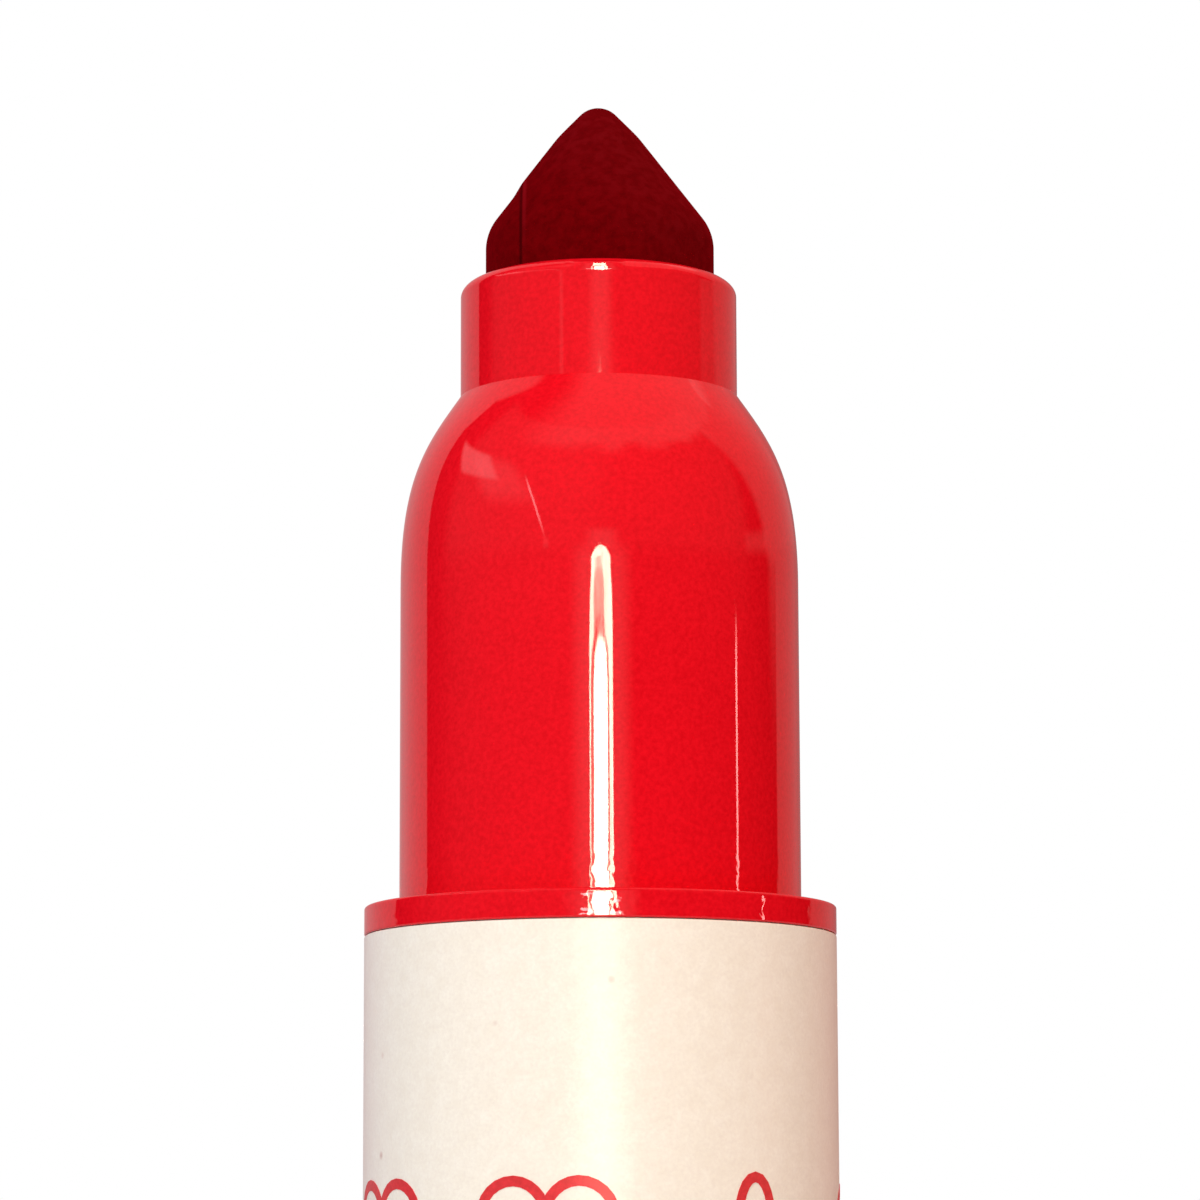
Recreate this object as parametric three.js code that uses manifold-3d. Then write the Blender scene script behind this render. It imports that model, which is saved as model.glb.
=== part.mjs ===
// Dual tip stamp marker: a felt nib at one end and a rubber stamp at the other.
// It stands on its stamp cap. The nib cap is off and stands beside it.
// Millimetres, +Z up along the marker. The origin is the centre of the stamp cap's flat end.

import * as THREE from 'three';
import { mergeVertices } from 'three/addons/utils/BufferGeometryUtils.js';
import Module from 'manifold-3d';

const wasm = await Module();
wasm.setup();

// Fits: radial gaps between pieces
const pressGap = 0.05;
const slideGap = 0.13;
const fibreGap = 0.1;

// Body: the flanges, the label and both caps share one outer diameter
const bodyDiameter = 20;
const barrelLength = 66;
const barrelWall = 1.3;
const dividerThickness = 1.8;
const dividerHeight = 23;
const ribCount = 6;
const ribWidth = 1.2;
const ribEndGap = 0.5;
const ribRoot = 0.4;
const labelThickness = 0.15;
const labelInset = 0.04;
const labelSeam = 0.5;

// Flanges and plugs that close the barrel
const flangeThickness = 1.2;
const plugLength = 9;
const plugLead = 0.4;
const edgeBreak = 0.15;

// Nib end
const noseWall = 1.27;
const domeHeight = 21.92;
const shoulderRise = 8.2;
const shoulderStart = 0.58;
const shoulderFullness = [0.43, 0.75];
const neckLength = 4;
const nibDiameter = 10;
const nibShoulder = 1;
const nibSeatDepth = 3.6;
const nibStandOff = 2.2;
const nibConeHalfAngle = 37;
const nibEdgeRound = 2.05;
const nibTipRound = 1.5;
const nibFlankOffset = 3.25;
const nibFlankStep = 0.12;
const collarWall = 0.91;
const collarHeight = 5.1;
const collarRound = 0.88;
const collarLedge = 0.05;
const spigotWall = 0.95;
const spigotDrop = 1.3;
const wickingDepth = 6;
const filmThickness = 0.12;

// Stamp end
const stampNoseLength = 14;
const stampNoseRound = 0.8;
const padThickness = 4;
const socketFloor = 1.4;
const neckSpan = 3;
const neckWall = 0.85;
const bezelStep = 0.62;
const bezelWall = 0.7;
const bezelLip = 1.15;
const bezelHold = 1.15;
const bezelRound = 0.5;
const dieBase = 1.4;
const dieGap = 0.12;
const dieStandOut = 1.4;
const dieEdgeRound = 0.4;
const reliefHeight = 0.9;
const reliefMargin = 0.9;
const reliefLine = 1.1;
const reliefGap = 2;
const wickDiameter = 6;

// Caps and the soft cups inside them
const capWall = 1.35;
const capEndWall = 1.6;
const capEndRound = 1.2;
const tipClearance = 1;
const linerFloor = 0.8;
const linerWall = 0.9;
const linerGrip = 3.5;
const linerHolderWall = 0.8;
const linerHolderHeight = 3;

// Where the nib cap stands, measured from the marker's axis
const nibCapAside = 30;
const nibCapBack = 12;

// Smoothness
const turnSteps = 40;
const labelSteps = 36;
const roundSteps = 4;
const domeSteps = 10;
const heartSteps = 28;

// Radii that follow from the sizes above
const bodyRadius = bodyDiameter / 2;
const barrelRadius = bodyRadius - labelThickness - pressGap;
const barrelBore = barrelRadius - barrelWall;
const plugRadius = barrelBore - pressGap;
const capBore = bodyRadius - capWall;
const noseRadius = capBore - slideGap;
const cavityRadius = noseRadius - noseWall;
const filmRadius = cavityRadius - fibreGap;
const reservoirRadius = filmRadius - filmThickness - pressGap;
const nibRadius = nibDiameter / 2;
const nibBore = nibRadius + pressGap;
const shankRadius = nibRadius - nibShoulder;
const shankBore = shankRadius + pressGap;
const spigotRadius = shankBore + spigotWall;
const neckBore = spigotRadius + pressGap;
const collarRadius = nibBore + collarWall;
const domeTopRadius = collarRadius + collarLedge;
const bezelRadius = noseRadius - bezelStep;
const bezelBore = bezelRadius - bezelWall;
const neckRadius = bezelBore - pressGap;
const socketRadius = neckRadius - neckWall;
const padRadius = socketRadius - fibreGap;
const dieRadius = bezelBore - fibreGap;
const lipBore = dieRadius - bezelHold;
const bossRadius = lipBore - dieGap;
const wickRadius = wickDiameter / 2;
const wickBore = wickRadius + pressGap;

// Heights at the stamp end, from the flat end of the stamp cap up
const stampLinerTop = capEndWall + linerFloor;
const reliefFace = stampLinerTop + tipClearance;
const bossFace = reliefFace + reliefHeight;
const bezelFace = bossFace + dieStandOut;
const dieFront = bezelFace + bezelLip;
const neckEnd = dieFront + dieBase;
const stampShoulder = neckEnd + neckSpan;
const stampSeat = stampShoulder + stampNoseLength;
const stampFloorBottom = neckEnd + padThickness;
const stampFloorTop = stampFloorBottom + socketFloor;

// Heights of the barrel and the nib end
const barrelBottom = stampSeat + flangeThickness;
const dividerBottom = barrelBottom + dividerHeight;
const dividerTop = dividerBottom + dividerThickness;
const barrelTop = barrelBottom + barrelLength;
const nibSeat = barrelTop + flangeThickness;
const domeShoulder = nibSeat + domeHeight - shoulderRise;
const domeTop = nibSeat + domeHeight;
const spigotEnd = domeShoulder - spigotDrop;
const collarTop = domeTop + collarHeight;
const nibSeatFloor = collarTop - nibSeatDepth;

// The nib's cone, from its half angle and its rounded edge and tip
const coneAngle = THREE.MathUtils.degToRad(nibConeHalfAngle);
const nibEdge = collarTop + nibStandOff;
const nibEdgeStart = nibEdge - nibEdgeRound * Math.tan(coneAngle / 2);
const coneTop = nibEdge + nibRadius / Math.tan(coneAngle);
const tipCentre = coneTop - nibTipRound / Math.sin(coneAngle);
const nibTop = tipCentre + nibTipRound;
const nibCapInside = nibTop - nibSeat + tipClearance;
const nibCapLength = nibCapInside + linerFloor + capEndWall;

// Finishes
function finish(color, roughness) {
  return new THREE.MeshStandardMaterial({ color, roughness, metalness: 0 });
}

const redPlastic = () => finish(0xe0182a, 0.2);
const whitePlastic = () => finish(0xf2efe9, 0.35);
const labelFilm = () => finish(0xf3eae0, 0.45);
const inkedFelt = () => finish(0x6a0a10, 0.9);
const inkedFibre = () => finish(0xb3202c, 0.95);
const clearFilm = () => finish(0xe9e2dc, 0.15);
const softSeal = () => finish(0xeee9e1, 0.5);
const stampRubber = () => finish(0xa8202c, 0.7);

// Points of a round corner in a turned profile, angles in degrees
function arc(centreRadius, centreHeight, radius, from, to, steps = roundSteps) {
  const points = [];
  for (let i = 0; i <= steps; i += 1) {
    const angle = THREE.MathUtils.degToRad(from + ((to - from) * i) / steps);
    points.push([centreRadius + radius * Math.cos(angle), centreHeight + radius * Math.sin(angle)]);
  }
  return points;
}

// A solid of revolution about Z. The profile runs anticlockwise as [radius, height] pairs.
function turned(profile) {
  const points = profile.map(([radius, height]) => new THREE.Vector2(radius, height));
  return new THREE.LatheGeometry(points, turnSteps).rotateX(Math.PI / 2);
}

// A turned solid with a hole through it: its profile closes on itself
function turnedRing(profile) {
  return turned([...profile, profile[0]]);
}

// Booleans
function toSolid(geometry) {
  const bare = geometry.clone();
  bare.deleteAttribute('normal');
  bare.deleteAttribute('uv');
  const merged = mergeVertices(bare, 1e-4);
  return new wasm.Manifold(new wasm.Mesh({
    numProp: 3,
    vertProperties: new Float32Array(merged.attributes.position.array),
    triVerts: new Uint32Array(merged.index.array),
  }));
}

function toGeometry(solid) {
  const mesh = solid.getMesh();
  const geometry = new THREE.BufferGeometry();
  geometry.setAttribute('position', new THREE.BufferAttribute(mesh.vertProperties, 3));
  geometry.setIndex(new THREE.BufferAttribute(mesh.triVerts, 1));
  geometry.computeVertexNormals();
  return geometry;
}

// Barrel: a tube with a moulded divider between the two inks and ribs that hold the reservoirs
function barrel() {
  const shell = turned([
    [0, dividerBottom],
    [barrelBore, dividerBottom],
    [barrelBore, barrelBottom],
    [barrelRadius, barrelBottom],
    [barrelRadius, barrelTop],
    [barrelBore, barrelTop],
    [barrelBore, dividerTop],
    [0, dividerTop],
  ]);
  const spans = [
    [barrelBottom + plugLength + ribEndGap, dividerBottom + ribRoot],
    [dividerTop - ribRoot, barrelTop - plugLength - ribEndGap],
  ];
  let solid = toSolid(shell);
  for (const [low, high] of spans) {
    for (let i = 0; i < ribCount; i += 1) {
      solid = solid.add(toSolid(barrelRib(low, high, (i * 2 * Math.PI) / ribCount)));
    }
  }
  return toGeometry(solid);
}

function barrelRib(low, high, angle) {
  const inner = filmRadius + fibreGap;
  const outer = barrelBore + ribRoot;
  return new THREE.BoxGeometry(outer - inner, ribWidth, high - low)
    .translate((outer + inner) / 2, 0, (low + high) / 2)
    .rotateZ(angle);
}

// Label: a printed film round the barrel, with its seam at the back
function barrelLabel() {
  const halfSeam = labelSeam / 2 / bodyRadius;
  const start = Math.PI / 2 + halfSeam;
  const end = Math.PI / 2 - halfSeam + 2 * Math.PI;
  const section = new THREE.Shape();
  section.absarc(0, 0, bodyRadius, start, end, false);
  section.absarc(0, 0, bodyRadius - labelThickness, end, start, true);
  const height = barrelLength - 2 * labelInset;
  const options = { depth: height, bevelEnabled: false, curveSegments: labelSteps };
  return new THREE.ExtrudeGeometry(section, options).translate(0, 0, barrelBottom + labelInset);
}

// Nose: plug, flange and dome in one moulding
function nose() {
  const drop = noseRadius - domeTopRadius;
  const [fullDrop, fullRise] = shoulderFullness;
  const shoulder = new THREE.CubicBezierCurve(
    new THREE.Vector2(noseRadius, domeShoulder),
    new THREE.Vector2(noseRadius, domeShoulder + shoulderStart * shoulderRise),
    new THREE.Vector2(noseRadius - fullDrop * drop, domeShoulder + fullRise * shoulderRise),
    new THREE.Vector2(domeTopRadius, domeTop),
  );
  return turnedRing([
    [cavityRadius, barrelTop - plugLength],
    [plugRadius - plugLead, barrelTop - plugLength],
    [plugRadius, barrelTop - plugLength + plugLead],
    [plugRadius, barrelTop],
    [bodyRadius - edgeBreak, barrelTop],
    [bodyRadius, barrelTop + edgeBreak],
    [bodyRadius, nibSeat - edgeBreak],
    [bodyRadius - edgeBreak, nibSeat],
    [noseRadius, nibSeat],
    ...shoulder.getPoints(domeSteps).map((point) => [point.x, point.y]),
    [neckBore, domeTop],
    [neckBore, domeTop - neckLength],
    [cavityRadius, domeShoulder],
  ]);
}

// Collar: the visible ring and, below it, the tube that grips the nib
function nibCollar() {
  return turnedRing([
    [shankBore, spigotEnd],
    [spigotRadius, spigotEnd],
    [spigotRadius, domeTop],
    [collarRadius, domeTop],
    ...arc(collarRadius - collarRound, collarTop - collarRound, collarRound, 0, 90),
    [nibBore, collarTop],
    [nibBore, nibSeatFloor],
    [shankBore, nibSeatFloor],
  ]);
}

// Nib: a round felt stick with a cone, and one flank set in behind a straight edge
function markerNib() {
  const whole = toSolid(nibStick(nibRadius));
  const slim = toSolid(nibStick(nibRadius - nibFlankStep));
  const height = 2 * (nibTop - nibSeatFloor);
  const flank = new THREE.BoxGeometry(nibDiameter, 2 * nibDiameter, height)
    .translate(-nibFlankOffset - nibRadius, 0, nibTop);
  return toGeometry(whole.subtract(toSolid(flank).subtract(slim)));
}

function nibStick(radius) {
  const inset = nibRadius - radius;
  return turned([
    [0, spigotEnd - wickingDepth],
    [shankRadius, spigotEnd - wickingDepth],
    [shankRadius, nibSeatFloor],
    [radius, nibSeatFloor],
    ...arc(radius - nibEdgeRound, nibEdgeStart - inset, nibEdgeRound, 0, nibConeHalfAngle),
    ...arc(0, tipCentre - inset, nibTipRound, nibConeHalfAngle, 90),
  ]);
}

// Ink reservoirs: fibre rods with a blind pocket for what draws ink from them
function nibInkReservoir() {
  return turned([
    [0, dividerTop],
    [reservoirRadius, dividerTop],
    [reservoirRadius, spigotEnd],
    [shankBore, spigotEnd],
    [shankBore, spigotEnd - wickingDepth],
    [0, spigotEnd - wickingDepth],
  ]);
}

function stampInkReservoir() {
  return turned([
    [0, stampFloorTop + wickingDepth],
    [wickBore, stampFloorTop + wickingDepth],
    [wickBore, stampFloorTop],
    [reservoirRadius, stampFloorTop],
    [reservoirRadius, dividerBottom],
    [0, dividerBottom],
  ]);
}

function reservoirFilm(low, high) {
  return turnedRing([
    [filmRadius - filmThickness, low],
    [filmRadius, low],
    [filmRadius, high],
    [filmRadius - filmThickness, high],
  ]);
}

// Stamp nose: plug, flange, straight nose for the cap and a socket for the pad
function stampNose() {
  return turnedRing([
    [socketRadius, neckEnd],
    [neckRadius, neckEnd],
    [neckRadius, stampShoulder],
    ...arc(noseRadius - stampNoseRound, stampShoulder + stampNoseRound, stampNoseRound, -90, 0),
    [noseRadius, stampSeat],
    [bodyRadius - edgeBreak, stampSeat],
    [bodyRadius, stampSeat + edgeBreak],
    [bodyRadius, barrelBottom - edgeBreak],
    [bodyRadius - edgeBreak, barrelBottom],
    [plugRadius, barrelBottom],
    [plugRadius, barrelBottom + plugLength - plugLead],
    [plugRadius - plugLead, barrelBottom + plugLength],
    [cavityRadius, barrelBottom + plugLength],
    [cavityRadius, stampFloorTop],
    [wickBore, stampFloorTop],
    [wickBore, stampFloorBottom],
    [socketRadius, stampFloorBottom],
  ]);
}

function stampWick() {
  return turned([
    [0, stampFloorBottom],
    [wickRadius, stampFloorBottom],
    [wickRadius, stampFloorTop + wickingDepth],
    [0, stampFloorTop + wickingDepth],
  ]);
}

function stampPad() {
  return turned([
    [0, neckEnd],
    [padRadius, neckEnd],
    [padRadius, stampFloorBottom],
    [0, stampFloorBottom],
  ]);
}

// Bezel: the ring that holds the die on the stamp nose
function stampBezel() {
  return turnedRing([
    [lipBore, bezelFace],
    ...arc(bezelRadius - bezelRound, bezelFace + bezelRound, bezelRound, -90, 0),
    [bezelRadius, stampShoulder],
    [bezelBore, stampShoulder],
    [bezelBore, dieFront],
    [lipBore, dieFront],
  ]);
}

// Die: a rubber disc whose boss carries a heart outline with a small heart in it
function stampDie() {
  const disc = turned([
    [0, bossFace],
    ...arc(bossRadius - dieEdgeRound, bossFace + dieEdgeRound, dieEdgeRound, -90, 0),
    [bossRadius, dieFront],
    [dieRadius, dieFront],
    [dieRadius, neckEnd],
    [0, neckEnd],
  ]);
  const outerWidth = 2 * (bossRadius - reliefMargin);
  const innerWidth = outerWidth - 2 * reliefLine;
  const coreWidth = innerWidth - 2 * reliefGap;
  const outline = heart(outerWidth);
  outline.holes.push(heart(innerWidth));
  let solid = toSolid(disc);
  for (const shape of [outline, heart(coreWidth)]) {
    const options = { depth: reliefHeight + dieEdgeRound, bevelEnabled: false };
    solid = solid.add(toSolid(new THREE.ExtrudeGeometry(shape, options).translate(0, 0, reliefFace)));
  }
  return toGeometry(solid);
}

// A heart curve: 32 units wide and 29 high before it is scaled, then centred on the axis
function heart(width) {
  const scale = width / 32;
  const points = [];
  for (let i = 0; i < heartSteps; i += 1) {
    const t = (i * 2 * Math.PI) / heartSteps;
    const x = 16 * Math.sin(t) ** 3;
    const y = 13 * Math.cos(t) - 5 * Math.cos(2 * t) - 2 * Math.cos(3 * t) - Math.cos(4 * t);
    points.push(new THREE.Vector2(-x * scale, (y + 2.5) * scale));
  }
  return new THREE.Shape(points);
}

// Caps, each with its closed end down at height 0
function capShell(length) {
  return [
    [0, 0],
    ...arc(bodyRadius - capEndRound, capEndRound, capEndRound, -90, 0),
    [bodyRadius, length - edgeBreak],
    [bodyRadius - edgeBreak, length],
    [capBore, length],
    [capBore, capEndWall],
  ];
}

function stampCap() {
  return turned([...capShell(stampSeat), [0, capEndWall]]);
}

function nibCap() {
  const holderBore = collarRadius + pressGap + linerWall + pressGap;
  const holderTop = capEndWall + linerHolderHeight;
  return turned([
    ...capShell(nibCapLength),
    [holderBore + linerHolderWall, capEndWall],
    [holderBore + linerHolderWall, holderTop],
    [holderBore, holderTop],
    [holderBore, capEndWall],
    [0, capEndWall],
  ]);
}

// Liners: soft cups that seal round the bezel and round the collar
function linerCup(bore, radius, height) {
  return turned([
    [0, capEndWall],
    [radius, capEndWall],
    [radius, height],
    [bore, height],
    [bore, capEndWall + linerFloor],
    [0, capEndWall + linerFloor],
  ]);
}

function stampCapLiner() {
  return linerCup(bezelRadius + pressGap, capBore - pressGap, bezelFace + linerGrip);
}

function nibCapLiner() {
  const bore = collarRadius + pressGap;
  const height = nibCapLength - (collarTop - nibSeat) + linerGrip;
  return linerCup(bore, bore + linerWall, height);
}

// Assembly
function piece(name, geometry, material) {
  const mesh = new THREE.Mesh(geometry, material);
  mesh.name = name;
  return mesh;
}

const marker = new THREE.Group();
marker.add(
  piece('barrel', barrel(), whitePlastic()),
  piece('barrel_label', barrelLabel(), labelFilm()),
  piece('nose', nose(), redPlastic()),
  piece('nib_collar', nibCollar(), redPlastic()),
  piece('marker_nib', markerNib(), inkedFelt()),
  piece('nib_ink_reservoir', nibInkReservoir(), inkedFibre()),
  piece('nib_reservoir_film', reservoirFilm(dividerTop, spigotEnd), clearFilm()),
  piece('stamp_ink_reservoir', stampInkReservoir(), inkedFibre()),
  piece('stamp_reservoir_film', reservoirFilm(stampFloorTop, dividerBottom), clearFilm()),
  piece('stamp_nose', stampNose(), redPlastic()),
  piece('stamp_wick', stampWick(), inkedFibre()),
  piece('stamp_pad', stampPad(), inkedFelt()),
  piece('stamp_die', stampDie(), stampRubber()),
  piece('stamp_bezel', stampBezel(), redPlastic()),
  piece('stamp_cap', stampCap(), redPlastic()),
  piece('stamp_cap_liner', stampCapLiner(), softSeal()),
);

const looseCap = new THREE.Group();
looseCap.position.set(nibCapAside, nibCapBack, 0);
looseCap.add(
  piece('nib_cap', nibCap(), redPlastic()),
  piece('nib_cap_liner', nibCapLiner(), softSeal()),
);

const dualTipStampMarker = new THREE.Group();
dualTipStampMarker.add(marker, looseCap);

export default dualTipStampMarker;
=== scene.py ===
# %% [markdown]
# A dual tip stamp marker, dressed for a close photograph.
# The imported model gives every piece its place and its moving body. This file adds what the eye needs:
# smooth turned plastic, a felt nib, a satin label with a printed pattern, and the light of the studio.
# The frame is in metres, with +Z up along the marker and -Y towards the camera.

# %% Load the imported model
from math import acos, atan2, ceil, copysign, cos, degrees, hypot, pi, radians, sin, sqrt, tan, tau

import bmesh
import bpy
from mathutils import Euler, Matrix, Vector


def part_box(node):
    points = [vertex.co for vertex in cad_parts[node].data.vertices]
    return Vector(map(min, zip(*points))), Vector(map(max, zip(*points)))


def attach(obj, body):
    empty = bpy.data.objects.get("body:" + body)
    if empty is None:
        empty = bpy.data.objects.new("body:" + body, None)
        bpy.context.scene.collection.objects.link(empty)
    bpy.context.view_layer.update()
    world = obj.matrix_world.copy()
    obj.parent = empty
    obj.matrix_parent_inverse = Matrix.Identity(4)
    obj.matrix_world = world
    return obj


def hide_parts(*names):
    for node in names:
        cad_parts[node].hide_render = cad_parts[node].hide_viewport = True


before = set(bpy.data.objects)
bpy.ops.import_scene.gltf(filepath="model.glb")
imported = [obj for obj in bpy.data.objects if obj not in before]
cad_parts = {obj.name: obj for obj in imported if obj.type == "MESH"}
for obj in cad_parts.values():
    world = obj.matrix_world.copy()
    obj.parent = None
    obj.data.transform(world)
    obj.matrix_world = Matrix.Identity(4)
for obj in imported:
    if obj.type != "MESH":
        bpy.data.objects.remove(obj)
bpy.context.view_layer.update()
scene = bpy.context.scene
MM = 0.001


def add_object(name, data):
    thing = bpy.data.objects.new(name, data)
    scene.collection.objects.link(thing)
    return thing


def add_mesh_object(name, vertices, edges, faces=()):
    mesh = bpy.data.meshes.new(name)
    mesh.from_pydata(vertices, edges, faces)
    return add_object(name, mesh)


# %% [markdown]
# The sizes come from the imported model's boxes, so each new piece sits where its solid sits.
# Heights and radii are kept in millimetres, because that is how such a marker would be drawn.

# %% Read the sizes
def box_mm(node):
    return [[c / MM for c in corner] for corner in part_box(node)]


(_, _, plug_end), (body_radius, _, dome_top) = box_mm("nose")
(_, _, spigot_end), (collar_radius, _, collar_top) = box_mm("nib_collar")
(_, _, shank_end), (nib_radius, _, nib_top) = box_mm("marker_nib")
(_, _, barrel_bottom), (_, _, barrel_top) = box_mm("barrel")
(_, _, bezel_face), (bezel_radius, _, stamp_shoulder) = box_mm("stamp_bezel")
(_, _, relief_face), (die_radius, _, neck_end) = box_mm("stamp_die")
socket_floor = box_mm("stamp_pad")[1][2]
stamp_seat = box_mm("stamp_cap")[1][2]
stamp_seal_radius, _, stamp_seal_top = box_mm("stamp_cap_liner")[1]
nib_cap_low, nib_cap_high = box_mm("nib_cap")
nib_seal_low, nib_seal_high = box_mm("nib_cap_liner")
print("body radius", round(body_radius, 3), "barrel", round(barrel_bottom, 2), "to", round(barrel_top, 2))

# %% [markdown]
# The camera stands low and close and looks up at the nib end, so the rims curve downwards at their sides.
# Its place, tilt and lens were found by laying the model's outline over the photograph's.

# %% Place the camera
camera_data = bpy.data.cameras.new("studio camera")
camera_data.lens = 137.25
camera_data.sensor_width = 36
camera_data.clip_start = 0.01
camera = add_object("studio camera", camera_data)
aside, distance, below_barrel_top = -0.28, 193.8, 15.27
camera.location = (aside * MM, -distance * MM, (barrel_top - below_barrel_top) * MM)
tilt_up, turn_right, roll = 8.71, 0.09, -0.17
aim = Euler((radians(90 + tilt_up), 0, radians(-turn_right)), "XYZ").to_matrix()
camera.rotation_euler = (aim @ Euler((0, 0, radians(roll)), "XYZ").to_matrix()).to_euler()
scene.camera = camera
scene.view_settings.view_transform = "Standard"
print("camera at", [round(c / MM, 2) for c in camera.location], "mm")

# %% [markdown]
# Every node tree below is written with a few small helpers. The first adds a node, sets its options,
# and feeds each input with a number or with another node's output.
# The others stand for the groups and the nodes that come back often. Those that are fed
# by another node take the tree from it.

# %% Helpers for node trees
def add_node(tree, kind, feeds=None, **settings):
    node = tree.nodes.new(kind)
    for key, value in settings.items():
        setattr(node, key, value)
    for socket, feed in (feeds or {}).items():
        if isinstance(feed, bpy.types.NodeSocket):
            tree.links.new(feed, node.inputs[socket])
        else:
            node.inputs[socket].default_value = feed
    return node


def new_group(name, inputs, outputs):
    kind = "GeometryNodeTree" if "Geometry" in outputs else "ShaderNodeTree"
    tree = bpy.data.node_groups.new(name, kind)
    for label, default in inputs.items():
        typed = isinstance(default, str)
        socket_type = "NodeSocket" + (default if typed else "Float")
        socket = tree.interface.new_socket(label, in_out="INPUT", socket_type=socket_type)
        if not typed:
            socket.default_value = default
    for label in outputs:
        socket_type = "NodeSocketGeometry" if label == "Geometry" else "NodeSocketFloat"
        tree.interface.new_socket(label, in_out="OUTPUT", socket_type=socket_type)
    return tree, tree.nodes.new("NodeGroupInput").outputs, tree.nodes.new("NodeGroupOutput").inputs


def give(tree, out, **values):
    for name, value in values.items():
        tree.links.new(value, out[name])
    print(f"{tree.name}: {len(tree.nodes)} nodes")
    return tree


def spaced(feeds):
    return {name.replace("_", " "): feed for name, feed in feeds.items()}


def use_group(tree, group, **feeds):
    return add_node(tree, "ShaderNodeGroup", spaced(feeds), node_tree=group).outputs


def open_tree(owner):
    owner.use_nodes = True
    owner.node_tree.nodes.clear()
    return owner.node_tree


def follow(kind, feeds, **settings):
    tree = next(feed.id_data for feed in feeds.values() if isinstance(feed, bpy.types.NodeSocket))
    return add_node(tree, kind, feeds, **settings).outputs


def math_node(operation, *values):
    return follow("ShaderNodeMath", dict(enumerate(values)), operation=operation)[0]


def doing(operation):
    return lambda *values: math_node(operation, *values)


plus, minus, times, times_plus, over, larger = map(
    doing, ("ADD", "SUBTRACT", "MULTIPLY", "MULTIPLY_ADD", "DIVIDE", "MAXIMUM")
)


def spread(value, low, high, start=0.3, end=0.7, **settings):
    feeds = {"Value": value, "From Min": start, "From Max": end, "To Min": low, "To Max": high}
    return follow("ShaderNodeMapRange", feeds, **settings)[0]


def noise(vector, scale, detail, **more):
    return follow("ShaderNodeTexNoise", {"Vector": vector, "Scale": scale, "Detail": detail, **more})["Fac"]


def blend(factor, first, second):
    return follow("ShaderNodeMix", {"Factor": factor, "A": first, "B": second}, data_type="RGBA")["Result"]


def mix_shaders(factor, first, second):
    return follow("ShaderNodeMixShader", {0: factor, 1: first, 2: second})[0]


def stretch(vector, factors):
    return follow("ShaderNodeVectorMath", {0: vector, 1: factors}, operation="MULTIPLY")[0]


def split(vector):
    return follow("ShaderNodeSeparateXYZ", {0: vector})


def object_place(tree):
    return add_node(tree, "ShaderNodeTexCoord").outputs["Object"]


print("node helpers ready")

# %% [markdown]
# Glossy plastic shows the room it stands in, so the room is part of the look.
# The photograph's reflections are bright panels with soft or sharp edges, seen by direction:
# an azimuth from the front, and a height above the horizon.
# One panel is a small node group. It is placed once for each bright part of the room.

# %% One panel of the room, as a node group
tree, given, out = new_group(
    "room panel",
    {"Azimuth": 0, "Height": 0, "From Azimuth": -10, "To Azimuth": 10, "From Height": -10, "To Height": 10,
     "Side Softness": 1, "End Softness": 1, "Lean": 0, "Level": 1},
    ["Level"],
)


def soft_step(value, edge, softness):
    half = times(softness, 0.5)
    start, end = minus(edge, half), plus(edge, half)
    return spread(value, 0, 1, start, end, interpolation_type="SMOOTHSTEP")


def inside(value, first, last, softness):
    return minus(soft_step(value, first, softness), soft_step(value, last, softness))


leaning = times_plus(given["Height"], given["Lean"], given["Azimuth"])
across = inside(leaning, given["From Azimuth"], given["To Azimuth"], given["Side Softness"])
upright = inside(given["Height"], given["From Height"], given["To Height"], given["End Softness"])
panel_tree = give(tree, out, Level=times(times(across, upright), given["Level"]))

# %% [markdown]
# The highlight down the middle of the dome is a tall narrow light with a round top.
# It has a bright rim, a paler hollow at its upper end and a bright core below with a fine line round it.
# Four rounded bars make it, two that add light and two that take it away. Each is a node group
# with a centre, a half width and a height where it starts to round off.
# Roundness 2 gives an ellipse, and a lower value a more pointed top.

# %% One rounded light bar, as a node group
tree, given, out = new_group(
    "light bar",
    {"Azimuth": 0, "Height": 0, "Centre": 0, "Half Width": 7, "Straight To": 10, "Round Height": 1.5,
     "Roundness": 2, "Softness": 0.1, "Level": 1},
    ["Level"],
)
from_centre = math_node("ABSOLUTE", minus(given["Azimuth"], given["Centre"]))
above = larger(minus(given["Height"], given["Straight To"]), 0)
sideways = over(from_centre, given["Half Width"])
upwards = over(above, given["Round Height"])
powers = [math_node("POWER", part, given["Roundness"]) for part in (sideways, upwards)]
root = over(1, given["Roundness"])
from_middle = math_node("POWER", plus(*powers), root)
shape = minus(1, soft_step(from_middle, 1, given["Softness"]))
bar_tree = give(tree, out, Level=times(shape, given["Level"]))

# %% [markdown]
# The world has three faces. The camera sees plain white, as in the photograph.
# Matt surfaces get an even light, a little cooler on the left and warmer on the right.
# Glossy surfaces see the room: a dark front, a bright wall behind, the ceiling, and the light bars,
# which are a little warm and streaky.

# %% Build the world
world = bpy.data.worlds.new("studio")
scene.world = world
room = open_tree(world)
direction = add_node(room, "ShaderNodeTexCoord").outputs["Generated"]
towards = split(direction)


def angle_node(operation, *values):
    return math_node("DEGREES", math_node(operation, *values))


azimuth = angle_node("ARCTAN2", towards["X"], times(towards["Y"], -1))
from_back = angle_node("ARCTAN2", towards["X"], towards["Y"])
height = angle_node("ARCSINE", towards["Z"])
ceiling_wave = 14
wavy_height = times_plus(noise(direction, 4.5, 2), ceiling_wave, minus(height, ceiling_wave / 2))


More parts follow.
